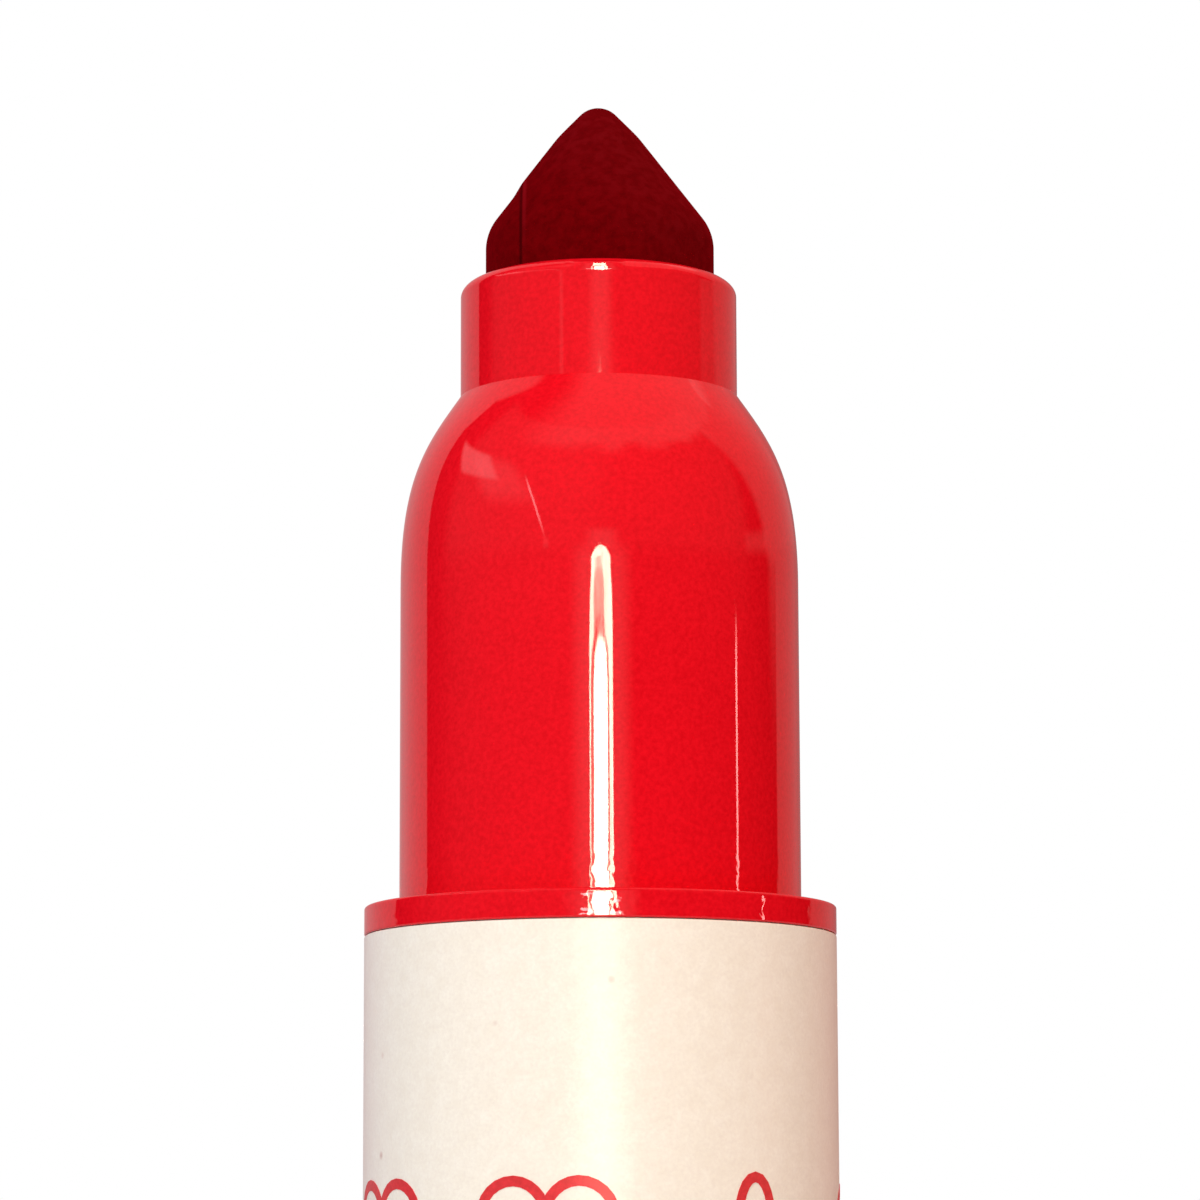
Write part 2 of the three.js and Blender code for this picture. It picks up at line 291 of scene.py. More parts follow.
def panel(left, right, low, high, level, side=1, end=1, lean=0, turn=azimuth, rise=height):
    return use_group(
        room, panel_tree, Azimuth=turn, Height=rise, From_Azimuth=left, To_Azimuth=right,
        From_Height=low, To_Height=high, Side_Softness=side, End_Softness=end, Lean=lean, Level=level,
    )["Level"]


def bar(centre, half_width, straight_to, round_height, softness, level, roundness=2):
    return use_group(
        room, bar_tree, Azimuth=azimuth, Height=height, Centre=centre, Half_Width=half_width,
        Straight_To=straight_to, Round_Height=round_height, Roundness=roundness, Softness=softness, Level=level,
    )["Level"]


# The ceiling has an uneven lower edge and fades out to the left
CEILING = panel(-50, 185, 46, 91, 0.42, side=60, end=8, rise=wavy_height)
# The wall behind, brighter on the left, and a little dimmer where it is seen past the object's very edge
WALL = [
    panel(-64, -1, -40, 38, 0.47, side=1.6, lean=-0.24, turn=from_back),
    panel(-42.3, 14, 38, 49, 0.47, side=2, lean=0.35, turn=from_back),
    panel(12, 95, 49, 76, 0.47, side=3, lean=1.46, turn=from_back),
    panel(-1, 58, -40, 58, 0.28, side=2.2, turn=from_back),
    panel(-26, 24, -40, 58, -0.07, side=12, turn=from_back),
]
# The wall at the right, whose lower edge leans down towards the back
SIDE = panel(122, 172, 9, 58, 0.31, side=8, end=6, lean=0.73)
# The front of the room: dim sides, a patch at the upper left with a soft glow, a thin leaning line,
# a thin upright one, a low glow in the middle, and small panels that show in the collar
FRONT = [
    panel(-95, 0, -30, 58, 0.06, side=30),
    panel(-100, 95, 10, 58, 0.09, side=12, end=6),
    panel(-54.5, -22, 28, 36.5, 0.95, side=6, end=2, lean=1.6),
    panel(-38, -4, 22, 35, 0.38, side=14, end=7, lean=1.6),
    panel(-20.2, -19, 15.5, 28, 4.2, side=0.6, end=7, lean=0.93),
    panel(84.2, 85.4, -30, 8.3, 8, side=0.5),
    panel(-13, 15, -30, 10.5, 0.58, side=12, end=5),
    panel(-6, 9, 11, 14.5, 0.42, side=10, end=2),
    panel(94, 114, 11, 13.6, 0.2, side=6, end=2),
    panel(-32.5, -29.5, 11, 12.8, 0.3, side=2),
    panel(-9.5, 10.5, 1.5, 3.5, 12, end=0.4),
]
LIGHT_BARS = [
    bar(0.8, 6.6, 8.2, 3.2, 0.05, 28, roundness=1.5),
    bar(-0.35, 2.95, 9.1, 0.5, 0.12, -19.5),
    bar(0.15, 5.2, 7.6, 1.05, 0.05, -25.5),
    bar(0.5, 3.9, 7.5, 0.95, 0.06, 57),
]
level = CEILING
for part in WALL:
    level = plus(level, part)
level = larger(level, SIDE)
for part in FRONT:
    level = plus(level, part)
bars = LIGHT_BARS[0]
for part in LIGHT_BARS[1:]:
    bars = plus(bars, part)
streaks = times_plus(noise(direction, 55, 3), 1.2, 0.4)
uneven_bars = times(larger(bars, 0), streaks)
left_to_right = times_plus(towards["X"], 0.5, 0.5)


def glow_of(colour, strength=1):
    return add_node(room, "ShaderNodeBackground", {"Color": colour, "Strength": strength}).outputs[0]


room_seen = glow_of(blend(left_to_right, (1.25, 0.965, 1, 1), (2.2, 0.975, 0.91, 1)), level)
bars_seen = glow_of((1, 0.93, 0.70, 1), uneven_bars)
seen_in_gloss = add_node(room, "ShaderNodeAddShader", {0: room_seen, 1: bars_seen}).outputs[0]
even = glow_of(blend(left_to_right, (0.345, 0.408, 0.59, 1), (0.76, 0.345, 0.165, 1)))
rays = add_node(room, "ShaderNodeLightPath").outputs
matt_or_gloss = mix_shaders(rays["Is Glossy Ray"], even, seen_in_gloss)
see_white = larger(rays["Is Camera Ray"], rays["Is Transmission Ray"])
surface = mix_shaders(see_white, matt_or_gloss, glow_of((1, 1, 1, 1)))
add_node(room, "ShaderNodeOutputWorld", {"Surface": surface})
world.cycles.sampling_method = "NONE"
print("room panels:", len(WALL) + len(FRONT) + 2, "light bars:", len(LIGHT_BARS))

# %% [markdown]
# One soft lamp in front gives the round shapes their falloff. It lights matt surfaces only,
# because the glossy ones already see the light bars. It stands a little to the left, as the shading shows.

# %% Add the soft front lamp
turn, rise, lamp_distance, aim_above_barrel = radians(-13), radians(38), 0.6, 10
level_at_object = 0.74
lamp_data = bpy.data.lights.new("front lamp", "AREA")
lamp_data.shape = "DISK"
lamp_data.size = 0.4
lamp_data.color = (1, 0.99, 0.84)
lamp_data.energy = level_at_object * pi ** 2 * lamp_distance ** 2
lamp = add_object("front lamp", lamp_data)
outwards = Vector((sin(turn) * cos(rise), -cos(turn) * cos(rise), sin(rise)))
lamp.location = Vector((0, 0, (barrel_top + aim_above_barrel) * MM)) + outwards * lamp_distance
lamp.rotation_euler = outwards.to_track_quat("Z", "Y").to_euler()
lamp.visible_camera = lamp.visible_glossy = False
print("front lamp at", [round(c, 3) for c in lamp.location])

# %% [markdown]
# The floor is a pale matt sheet under the marker. It keeps the shadow,
# and far from the marker it fades to the white of the background. Its colour is a little cool,
# so that it looks neutral in the warm light.

# %% Make the floor
floor_reach = 6
floor_corners = [(x * floor_reach, y * floor_reach, 0) for x, y in ((-1, -1), (1, -1), (1, 1), (-1, 1))]
floor = add_mesh_object("floor", floor_corners, [], [(0, 1, 2, 3)])
floor_finish = bpy.data.materials.new("pale matt floor")
tree = open_tree(floor_finish)
spot = object_place(tree)
tone = spread(noise(spot, 90, 4), 0.80, 0.84, 0, 1)
cool = {channel: times(tone, share) for channel, share in enumerate((0.87, 1, 1.045))}
colour = add_node(tree, "ShaderNodeCombineColor", cool).outputs[0]
matt = add_node(tree, "ShaderNodeBsdfDiffuse", {"Color": colour}).outputs[0]
white = add_node(tree, "ShaderNodeEmission", {"Color": (1, 1, 1, 1), "Strength": 1}).outputs[0]
from_marker = add_node(tree, "ShaderNodeVectorMath", {0: spot}, operation="LENGTH").outputs["Value"]
far = spread(from_marker, 0, 1, 0.12, 0.5, interpolation_type="SMOOTHSTEP")
seen = add_node(tree, "ShaderNodeLightPath").outputs["Is Camera Ray"]
surface = mix_shaders(times(far, seen), matt, white)
add_node(tree, "ShaderNodeOutputMaterial", {"Surface": surface})
floor.data.materials.append(floor_finish)
print("floor", 2 * floor_reach, "m wide")

# %% [markdown]
# Moulded plastic is never perfectly smooth. It has a faint ripple from the mould, a fine grain,
# and a few hairline rubs from the cap. One shared group gives these, as a height, a tone and a rub mask.
# It reads Object coordinates, so the pattern stays on the piece when the piece moves.

# %% Shader group: moulded skin
tree, given, out = new_group(
    "moulded skin", {"Ripple Scale": 250, "Grain Scale": 5000, "Rub Amount": 0.5}, ["Ripple", "Grain", "Rubs"]
)
spot = object_place(tree)
ripple = noise(spot, given["Ripple Scale"], 2)
grain = noise(spot, given["Grain Scale"], 3, Roughness=0.6)
hairlines = noise(stretch(spot, (1, 1, 0.035)), 4200, 2, Roughness=0.7)
thin = spread(hairlines, 0, 1, 0.66, 0.74)
where = spread(noise(spot, 160, 1), 0, 1, 0.5, 0.65)
rubs = times(times(thin, where), given["Rub Amount"])
skin_tree = give(tree, out, Ripple=ripple, Grain=grain, Rubs=rubs)

# %% [markdown]
# Small specks of dust or dried ink sit on every handled surface.
# A Voronoi pattern gives round cells. Only a few cells, picked by their random colour, get a speck.

# %% Shader group: specks
tree, given, out = new_group("specks", {"Spacing Scale": 700, "Size": 0.12, "Share": 0.15}, ["Mask"])
feeds = {"Vector": object_place(tree), "Scale": given["Spacing Scale"]}
cells = add_node(tree, "ShaderNodeTexVoronoi", feeds).outputs
dot = spread(cells["Distance"], 0, 1, given["Size"], 0)
lot = add_node(tree, "ShaderNodeSeparateColor", {0: cells["Color"]}).outputs[0]
chosen = math_node("LESS_THAN", lot, given["Share"])
speck_tree = give(tree, out, Mask=times(dot, chosen))

# %% [markdown]
# Felt, wick and reservoir are all pressed or drawn fibres. Their shared look is a short matted grain
# with slow patches where more ink has gathered. Along says how strongly the fibres run along the marker.

# %% Shader group: inked fibre grain
tree, given, out = new_group(
    "fibre grain", {"Fibre Scale": 3500, "Along": 1, "Patch Scale": 300}, ["Fibres", "Patches"]
)
spot = object_place(tree)
along = add_node(tree, "ShaderNodeCombineXYZ", {0: 1, 1: 1, 2: given["Along"]}).outputs[0]
drawn = stretch(spot, along)
fibres = noise(drawn, given["Fibre Scale"], 4, Roughness=0.7, Distortion=0.6)
fibre_tree = give(tree, out, Fibres=fibres, Patches=noise(spot, given["Patch Scale"], 3))

# %% [markdown]
# Every material is one Principled shader with a bump, fed by the shared groups.
# One helper opens a material, and another adds the shader when its inputs are ready.

# %% Helpers for materials
def open_material(name):
    print("making", name)
    material = bpy.data.materials.new(name)
    return material, open_tree(material)


def add_shader(colour, bump_height, strength, depth, roughness, specular=0.5, **more):
    feeds = {"Height": bump_height, "Strength": strength, "Distance": depth * MM}
    normal = follow("ShaderNodeBump", feeds)["Normal"]
    feeds = {"Base Color": colour, "Normal": normal, "Roughness": roughness, "Specular IOR Level": specular}
    shader = follow("ShaderNodeBsdfPrincipled", {**feeds, **spaced(more)})[0]
    follow("ShaderNodeOutputMaterial", {"Surface": shader})


print("material helpers ready")

# %% [markdown]
# The red parts are moulded in a dense, glossy red. The colour is deep and even,
# with a very fine mottle, a few darker specks, and faint rubs where the surface is less sharp.
# Where the wall is thick, by a flange, the plastic sank as it cooled. Its skin is wavy there,
# which breaks up the highlight, so the finish takes the heights where the waves start and end.
# The flange itself has stronger, flatter creases.

# %% Glossy red plastic
RED, DARK_RED = (0.845, 0.0058, 0.0155, 1), (0.705, 0.0035, 0.0105, 1)


def red_finish(name, roughness, rub, wavy_from=None, wavy_to=None):
    material, tree = open_material(name)
    skin = use_group(tree, skin_tree, Ripple_Scale=260, Grain_Scale=5200, Rub_Amount=rub)
    specks = use_group(tree, speck_tree, Spacing_Scale=650, Size=0.1, Share=0.1)
    clouds = times_plus(skin["Ripple"], 0.12, times(skin["Grain"], 0.88))
    mottled = blend(spread(clouds, 0, 1, 0.34, 0.64), DARK_RED, RED)
    colour = blend(times(specks["Mask"], 0.5), mottled, (0.5, 0.004, 0.008, 1))
    heights = times_plus(skin["Grain"], 0.02, skin["Ripple"])
    if wavy_from is not None:
        spot = object_place(tree)
        up = split(spot)["Z"]
        band = spread(up, 0, 1.7, wavy_to * MM, wavy_from * MM)
        heights = times_plus(noise(spot, 1900, 1, Distortion=0.4), band, heights)
        creases = noise(stretch(spot, (1, 1, 2.6)), 1250, 0.3)
        on_flange = math_node("LESS_THAN", up, (wavy_from - 0.7) * MM)
        heights = times_plus(creases, times(on_flange, 1.4), heights)
    dulled = times_plus(skin["Rubs"], 0.25, roughness)
    add_shader(colour, heights, 0.25, 0.02, dulled)
    return material


glossy_red = red_finish("glossy red plastic", 0.03, 0.5)
nose_red = red_finish("glossy red nose plastic", 0.03, 0.5, barrel_top + 1.9, barrel_top + 3.4)
cap_red = red_finish("glossy red cap plastic", 0.07, 1)

# %% [markdown]
# The label is a satin film. It is slightly warm, a little cloudy and grainy, and has tiny specks
# in the print's white ground. Its sheen is a little uneven.

# %% Satin label film
label_film, tree = open_material("satin label film")
skin = use_group(tree, skin_tree, Ripple_Scale=1500, Grain_Scale=7000)
specks = use_group(tree, speck_tree, Spacing_Scale=420, Size=0.09, Share=0.3)
cloudy = blend(spread(skin["Ripple"], 0, 1), (0.945, 0.915, 0.825, 1), (0.985, 0.97, 0.89, 1))
grainy = blend(spread(skin["Grain"], 0, 0.5), cloudy, (0.83, 0.78, 0.72, 1))
speckled = blend(times(specks["Mask"], 0.75), grainy, (0.55, 0.30, 0.27, 1))
heights = times_plus(skin["Grain"], 0.25, skin["Ripple"])
add_shader(speckled, heights, 0.3, 0.03, roughness=spread(skin["Ripple"], 0.3, 0.38), specular=0.35)

# %% [markdown]
# The print is a thin layer of red ink on the film, a little uneven in tone.

# %% Red print ink
print_ink, tree = open_material("red print ink")
skin = use_group(tree, skin_tree)
inked = blend(spread(skin["Grain"], 0, 1), (0.62, 0.025, 0.03, 1), (0.78, 0.035, 0.045, 1))
add_shader(inked, skin["Grain"], 0.2, 0.01, roughness=0.4)

# %% [markdown]
# The nib's felt is soaked with ink to a deep wine red and has almost no shine.
# Its grain is fine and matted. Towards the upper right it is paler, in small patches.
# The crease beside the set-in flank is darker with painted shade, and higher up the edge next to it is a little
# paler with a painted highlight.

# %% Ink-soaked felt
flank_plane = -3.25
felt, tree = open_material("ink soaked felt")
grain = use_group(tree, fibre_tree, Fibre_Scale=4200, Patch_Scale=2200)
place = split(object_place(tree))
matted = times_plus(grain["Patches"], 0.7, times(grain["Fibres"], 0.75))
fine = blend(spread(matted, 0, 1, 0.49, 0.93), (0.085, 0.0002, 0.001, 1), (0.148, 0.0004, 0.0018, 1))
up_right = plus(place["X"], minus(place["Z"], nib_top * MM))
# Paler towards the upper right, in small patches
paler_up_right = spread(up_right, 0.1, 0.85, -6.5 * MM, -1.5 * MM)
pale_patches = times(paler_up_right, spread(grain["Patches"], 0.4, 1, 0.44, 0.62))
patchy = blend(pale_patches, fine, (0.15, 0.0028, 0.005, 1))
past_crease = minus(place["X"], flank_plane * MM)
up_the_cone = spread(place["Z"], 0.1, 0.9, (collar_top + 0.5) * MM, (collar_top + 4) * MM)


def stripe(middle, half_width, strength):
    off_middle = math_node("ABSOLUTE", minus(past_crease, middle * MM))
    return spread(off_middle, strength, 0, 0.25 * half_width * MM, half_width * MM)


# Painted shade: a narrow dark band just inside the crease
crease_shadow = blend(stripe(-0.06, 0.1, 0.7), patchy, (0.03, 0.0005, 0.001, 1))
# Painted highlight: a narrow paler band on the edge beside the crease, higher up the cone
soaked = blend(times(stripe(0.08, 0.12, 0.8), up_the_cone), crease_shadow, (0.21, 0.004, 0.008, 1))
add_shader(
    soaked, grain["Fibres"], 0.5, 0.05, roughness=0.8, specular=0,
    Sheen_Weight=0.6, Sheen_Roughness=0.45, Sheen_Tint=(0.2, 0.002, 0.006, 1),
)

# %% [markdown]
# The other finishes are on pieces that show when a cap comes off, or only through a seam:
# wick fibre, reservoir film, white barrel plastic, the caps' soft seals and the stamp's porous rubber.

# %% Fibre, pale plastics and stamp rubber
fibre_rod, tree = open_material("inked fibre rod")
grain = use_group(tree, fibre_tree, Along=0.05)
inked = blend(spread(grain["Fibres"], 0, 1), (0.36, 0.006, 0.014, 1), (0.52, 0.013, 0.026, 1))
add_shader(inked, grain["Fibres"], 0.6, 0.05, roughness=0.85, specular=0.15)


def pale_finish(name, low, high, roughness, rub):
    material, tree = open_material(name)
    skin = use_group(tree, skin_tree, Rub_Amount=rub)
    pale = blend(spread(skin["Grain"], 0, 1), low, high)
    dulled = times_plus(skin["Rubs"], 0.2, roughness)
    add_shader(pale, skin["Ripple"], 0.2, 0.02, dulled)
    return material


clear_film = pale_finish("wrapping film", (0.78, 0.74, 0.70, 1), (0.86, 0.82, 0.78, 1), 0.15, 0.6)
white_plastic = pale_finish("white barrel plastic", (0.83, 0.81, 0.77, 1), (0.89, 0.87, 0.83, 1), 0.3, 0.6)
seal_plastic = pale_finish("soft seal plastic", (0.80, 0.765, 0.71, 1), (0.88, 0.85, 0.80, 1), 0.45, 0.3)

stamp_rubber, tree = open_material("stamp rubber")
grain = use_group(tree, fibre_tree, Fibre_Scale=6500, Patch_Scale=500)
pores = blend(spread(grain["Fibres"], 0, 1), (0.30, 0.008, 0.020, 1), (0.46, 0.016, 0.036, 1))
inky = blend(spread(grain["Patches"], 0, 0.6, 0.45, 0.7), pores, (0.22, 0.004, 0.012, 1))
add_shader(inky, grain["Fibres"], 0.5, 0.04, roughness=0.6, specular=0.3)

# %% [markdown]
# Almost every plastic part of a marker is turned: its shape is one outline spun round an axis.
# A Geometry Nodes tree does the spinning. It takes the outline as a mesh of edges, sweeps it round a circle,
# or along an arc with closed ends, joins what meets on the axis and gives it its finish.
# Spinning with nodes keeps one rule for nine round pieces and the label,
# and the number of steps can be changed in one place.

# %% The turning tree
PATH_RADIUS = 10
JOIN_DISTANCE = 0.0005
tree, given, out = new_group(
    "turned piece",
    {"Outline": "Geometry", "Steps": "Int", "Path Radius": 0.01, "First Angle": 0, "Sweep Angle": tau,
     "Close Ends": "Bool", "Place": "Vector", "Finish": "Material"},
    ["Geometry"],
)


def shape_node(tree, kind, feeds, **settings):
    return add_node(tree, "GeometryNode" + kind, feeds, **settings).outputs[0]


def end_tree(tree, given, out, shape):
    real = shape_node(tree, "RealizeInstances", {"Geometry": shape})
    dressed = shape_node(tree, "SetMaterial", {"Geometry": real, "Material": given["Finish"]})
    return give(tree, out, Geometry=dressed)


outline = shape_node(tree, "MeshToCurve", {0: given["Outline"]})
circle = {"Resolution": given["Steps"], "Radius": given["Path Radius"]}
full_circle = shape_node(tree, "CurvePrimitiveCircle", circle)
arc = {**circle, "Resolution": plus(given["Steps"], 1),
       "Start Angle": given["First Angle"], "Sweep Angle": given["Sweep Angle"]}
part_arc = shape_node(tree, "CurveArc", arc)
either = {"Switch": given["Close Ends"], "False": full_circle, "True": part_arc}
path = shape_node(tree, "Switch", either, input_type="GEOMETRY")
sweep = {"Curve": path, "Profile Curve": outline, "Fill Caps": given["Close Ends"]}
swept = shape_node(tree, "CurveToMesh", sweep)
placed = shape_node(tree, "Transform", {"Geometry": swept, "Translation": given["Place"]})
joined = shape_node(tree, "MergeByDistance", {"Geometry": placed, "Distance": JOIN_DISTANCE * MM})
turn_tree = end_tree(tree, given, out, shape_node(tree, "SetShadeSmooth", {"Geometry": joined}))

# %% [markdown]
# Outlines are written as corners: a radius, a height and, where the mould has one, a rounding.
# A helper turns each rounding into a short arc, with a point close to each end of it,
# so that the long straight walls stay flat in their shading.

# %% Rounded outlines
ARC_STEP = 11
SUPPORT = 0.12
STRAIGHT_ENOUGH = 178


def rounded_outline(corners, closed):
    count = len(corners)
    points = []
    for index, corner in enumerate(corners):
        here = Vector(corner[:2])
        rounding = corner[2] if len(corner) > 2 else 0
        if not closed and index in (0, count - 1):
            points.append(here)
            continue
        back = Vector(corners[index - 1][:2]) - here
        on = Vector(corners[(index + 1) % count][:2]) - here
        room_left = 0.48 * min(back.length, on.length)
        back.normalize()
        on.normalize()
        angle = back.angle(on)
        if rounding <= 0 or angle > radians(STRAIGHT_ENOUGH):
            points.append(here)
            continue
        reach = min(rounding / tan(angle / 2), room_left)
        rounding = reach * tan(angle / 2)
        centre = here + (back + on).normalized() * (rounding / sin(angle / 2))
        first, last = here + back * reach, here + on * reach
        steps = max(3, ceil((180 - degrees(angle)) / ARC_STEP))
        start, stop = first - centre, last - centre
        lead = min(SUPPORT, 0.5 * room_left)
        supported = room_left > reach + 2 * lead
        if supported:
            points.append(first + back * lead)
        turn = atan2(start.cross(stop), start.dot(stop))
        for step in range(steps + 1):
            cosine, sine = cos(turn * step / steps), sin(turn * step / steps)
            points.append(centre + Vector((start.x * cosine - start.y * sine, start.x * sine + start.y * cosine)))
        if supported:
            points.append(last + on * lead)
    return points


def arc_points(centre, radii, first, last, steps):
    turns = [first + (last - first) * i / steps for i in range(steps + 1)]
    return [(centre[0] + radii[0] * cos(a), centre[1] + radii[1] * sin(a)) for a in turns]


def bezier_points(first, pull_first, pull_last, last, steps):
    points = []
    for i in range(steps + 1):
        t = i / steps
        weights = ((1 - t) ** 3, 3 * t * (1 - t) ** 2, 3 * t * t * (1 - t), t ** 3)
        pulls = list(zip(weights, (first, pull_first, pull_last, last)))
        points.append(tuple(sum(w * p[axis] for w, p in pulls) for axis in (0, 1)))
    return points


print("outline helpers ready")

# %% [markdown]
# A modifier's inputs are set by their socket identifiers. After the tree has run,
# the result becomes a plain mesh, its faces are turned outwards, and its crisp edges are marked.
# Some turned pieces then get a detail in their mesh. Last the piece goes on its moving body,
# and the solid that it stands for is hidden.

# %% Run a tree, keep plain mesh and seat the piece
SHARP = radians(32)


def make_plain(piece, sharp=SHARP):
    graph = bpy.context.evaluated_depsgraph_get()
    mesh = bpy.data.meshes.new_from_object(piece.evaluated_get(graph))
    piece.modifiers.clear()
    old = piece.data
    piece.data = mesh
    bpy.data.meshes.remove(old)
    mesh.name = piece.name
    work = bmesh.new()
    work.from_mesh(mesh)
    bmesh.ops.dissolve_degenerate(work, edges=work.edges, dist=1e-8)
    bmesh.ops.recalc_face_normals(work, faces=work.faces)
    open_edges = sum(1 for edge in work.edges if len(edge.link_faces) != 2)
    volume = work.calc_volume(signed=True)
    if volume < 0:
        bmesh.ops.reverse_faces(work, faces=work.faces)
    work.to_mesh(mesh)
    work.free()
    mesh.shade_smooth()
    mesh.set_sharp_from_angle(angle=sharp)
    print(f"{piece.name}: {len(mesh.polygons)} faces, {open_edges} open edges, {volume / MM ** 3:.1f} mm3")


def run_tree(piece, tree, values):
    modifier = piece.modifiers.new(tree.name, "NODES")
    modifier.node_group = tree
    for item in tree.interface.items_tree:
        if item.in_out == "INPUT" and item.name in values:
            modifier[item.identifier] = values[item.name]
    make_plain(piece)


def seat(piece, body, slot, *nodes):
    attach(piece, body)
    if nodes:
        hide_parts(*nodes)


def turn_piece(
    node, slot, finish, corners, body="marker", add_detail=None, closed=True, steps=160, place=(0, 0, 0),
    first_angle=0.0, sweep=tau,
):
    points = rounded_outline(corners, closed)
    edges = [(i, i + 1) for i in range(len(points) - 1)]
    if closed:
        edges.append((len(points) - 1, 0))
    outline = [((r - PATH_RADIUS) * MM, -z * MM, 0) for r, z in points]
    piece = add_mesh_object(f"turned_{node}", outline, edges)
    run_tree(piece, turn_tree, {
        "Steps": steps, "Path Radius": PATH_RADIUS * MM, "First Angle": first_angle, "Sweep Angle": sweep,
        "Close Ends": sweep < tau, "Place": Vector(place) * MM, "Finish": finish,
    })
    if add_detail:
        add_detail(piece.data)
    seat(piece, body, slot, node)


print("turning ready")

# %% [markdown]
# The nose is one moulding: a plug inside the barrel, a flange that meets the label,
# a straight wall and a domed shoulder that ends under the nib's collar.
# The shoulder is a Bezier curve whose pull points were read from the outline in the photograph.

# %% Nose
nose_radius, cavity_radius, neck_bore, neck_length = 8.52, 7.25, 5.05, 4
plug_radius, plug_chamfer, flange_thickness = 8.45, 0.4, 1.2
flange_top = barrel_top + flange_thickness
shoulder_rise, ring_gap = 8.2, 4
shoulder_start, shoulder_end = dome_top - shoulder_rise, collar_radius + 0.05
drop = nose_radius - shoulder_end
shoulder = bezier_points(
    (nose_radius, shoulder_start),
    (nose_radius, shoulder_start + 0.58 * shoulder_rise),
    (nose_radius - 0.43 * drop, shoulder_start + 0.75 * shoulder_rise),
    (shoulder_end, dome_top),
    44,
)
turn_piece("nose", "red_plastic", nose_red, [
    (cavity_radius, plug_end, 0.1), (plug_radius - plug_chamfer, plug_end, 0.15),
    (plug_radius, plug_end + plug_chamfer, 0.1), (plug_radius, barrel_top), (body_radius, barrel_top, 0.07),
    (body_radius, flange_top, 0.12), (nose_radius, flange_top, 0.1), (nose_radius, flange_top + ring_gap),
    (nose_radius, flange_top + 2 * ring_gap),
    *shoulder,
    (neck_bore, dome_top, 0.1), (neck_bore, dome_top - neck_length, 0.1), (cavity_radius, shoulder_start, 0.3),
], steps=200)

# %% [markdown]
# The collar is the ring that holds the nib, with a tube below it that grips the nib's shank.
# Its rim is rounded. At the front the rounding carries a low ridge, as a worn vent in a mould leaves.
# It is far too low to feel, but the light bars make a short bright mark of it.

# %% Nib collar
nib_bore = nib_radius + 0.05
shank_bore, spigot_radius = 4.05, 5
nib_floor = collar_top - 3.6
rim_inset, rim_rise = 0.88, 0.63
rim_centre = (collar_radius - rim_inset, collar_top - rim_rise)
# The ridge, as heights from the collar's top and how far it stands out there
RIDGE = [(-0.655, 0), (-0.60, 0.0049), (-0.53, 0.0088), (-0.36, 0.0135), (-0.345, 0.0138)]
ridge_end, ridge_foot, bore_clearance = -0.2, -0.69, 0.15
ridge_half_angle, ridge_fade = radians(6), radians(6)


def smooth(share):
    share = min(max(share, 0), 1)
    return share * share * (3 - 2 * share)


def rim_loss(z):
    over_rim = min(max((z + rim_rise) / rim_rise, 0), 1)
    return rim_inset * (1 - sqrt(1 - over_rim ** 2))


def ridge_rise(z):
    for (low, first), (high, last) in zip(RIDGE, RIDGE[1:]):
        if z <= high:
            return first + (last - first) * max(z - low, 0) / (high - low) + rim_loss(z)
    return (last + rim_loss(high)) * (1 - smooth((z - high) / (ridge_end - high)))


def raise_ridge(mesh):
    raised = 0
    for vertex in mesh.vertices:
        x, y, z = (c / MM for c in vertex.co)
        radius = hypot(x, y)
        fade = 1 - smooth((abs(atan2(x, -y)) - ridge_half_angle) / ridge_fade)
        if radius > nib_bore + bore_clearance and z - collar_top > RIDGE[0][0] and fade > 0:
            rise = ridge_rise(z - collar_top) * fade
            vertex.co.x += rise * x / radius * MM
            vertex.co.y += rise * y / radius * MM
            raised += 1
    print("ridge points:", raised)


turn_piece("nib_collar", "red_plastic", glossy_red, [
    (shank_bore, spigot_end, 0.1), (spigot_radius, spigot_end, 0.1), (spigot_radius, dome_top),
    (collar_radius, dome_top), (collar_radius, dome_top + 1.5), (collar_radius, collar_top - rim_rise - 0.6),
    (collar_radius, collar_top + ridge_foot), (collar_radius, collar_top + RIDGE[0][0]),
    *arc_points(rim_centre, (rim_inset, rim_rise), 0, pi / 2, 36),
    (nib_bore, collar_top), (nib_bore, nib_floor, 0.1), (shank_bore, nib_floor, 0.1),
], steps=360, add_detail=raise_ridge)

# %% [markdown]
# The nib is a round stick of felt with a blunt cone. Its left flank is set in behind a straight crease,
# where the felt was pressed. A plain spin can't make that, so the rings are written in code:
# each ring follows the full radius up to the crease, steps in, and closes along the slimmer flank.

# %% Nib
shank_radius = 4
cone_angle, edge_round = radians(37), 2.05
tip_round, tip_angle, bend_radius = 1.1, radians(44), 2
flank_step, flank_fade = 0.12, 0.7
nib_edge, side_gap, nib_join_distance = collar_top + 2.2, 0.52, 0.0008


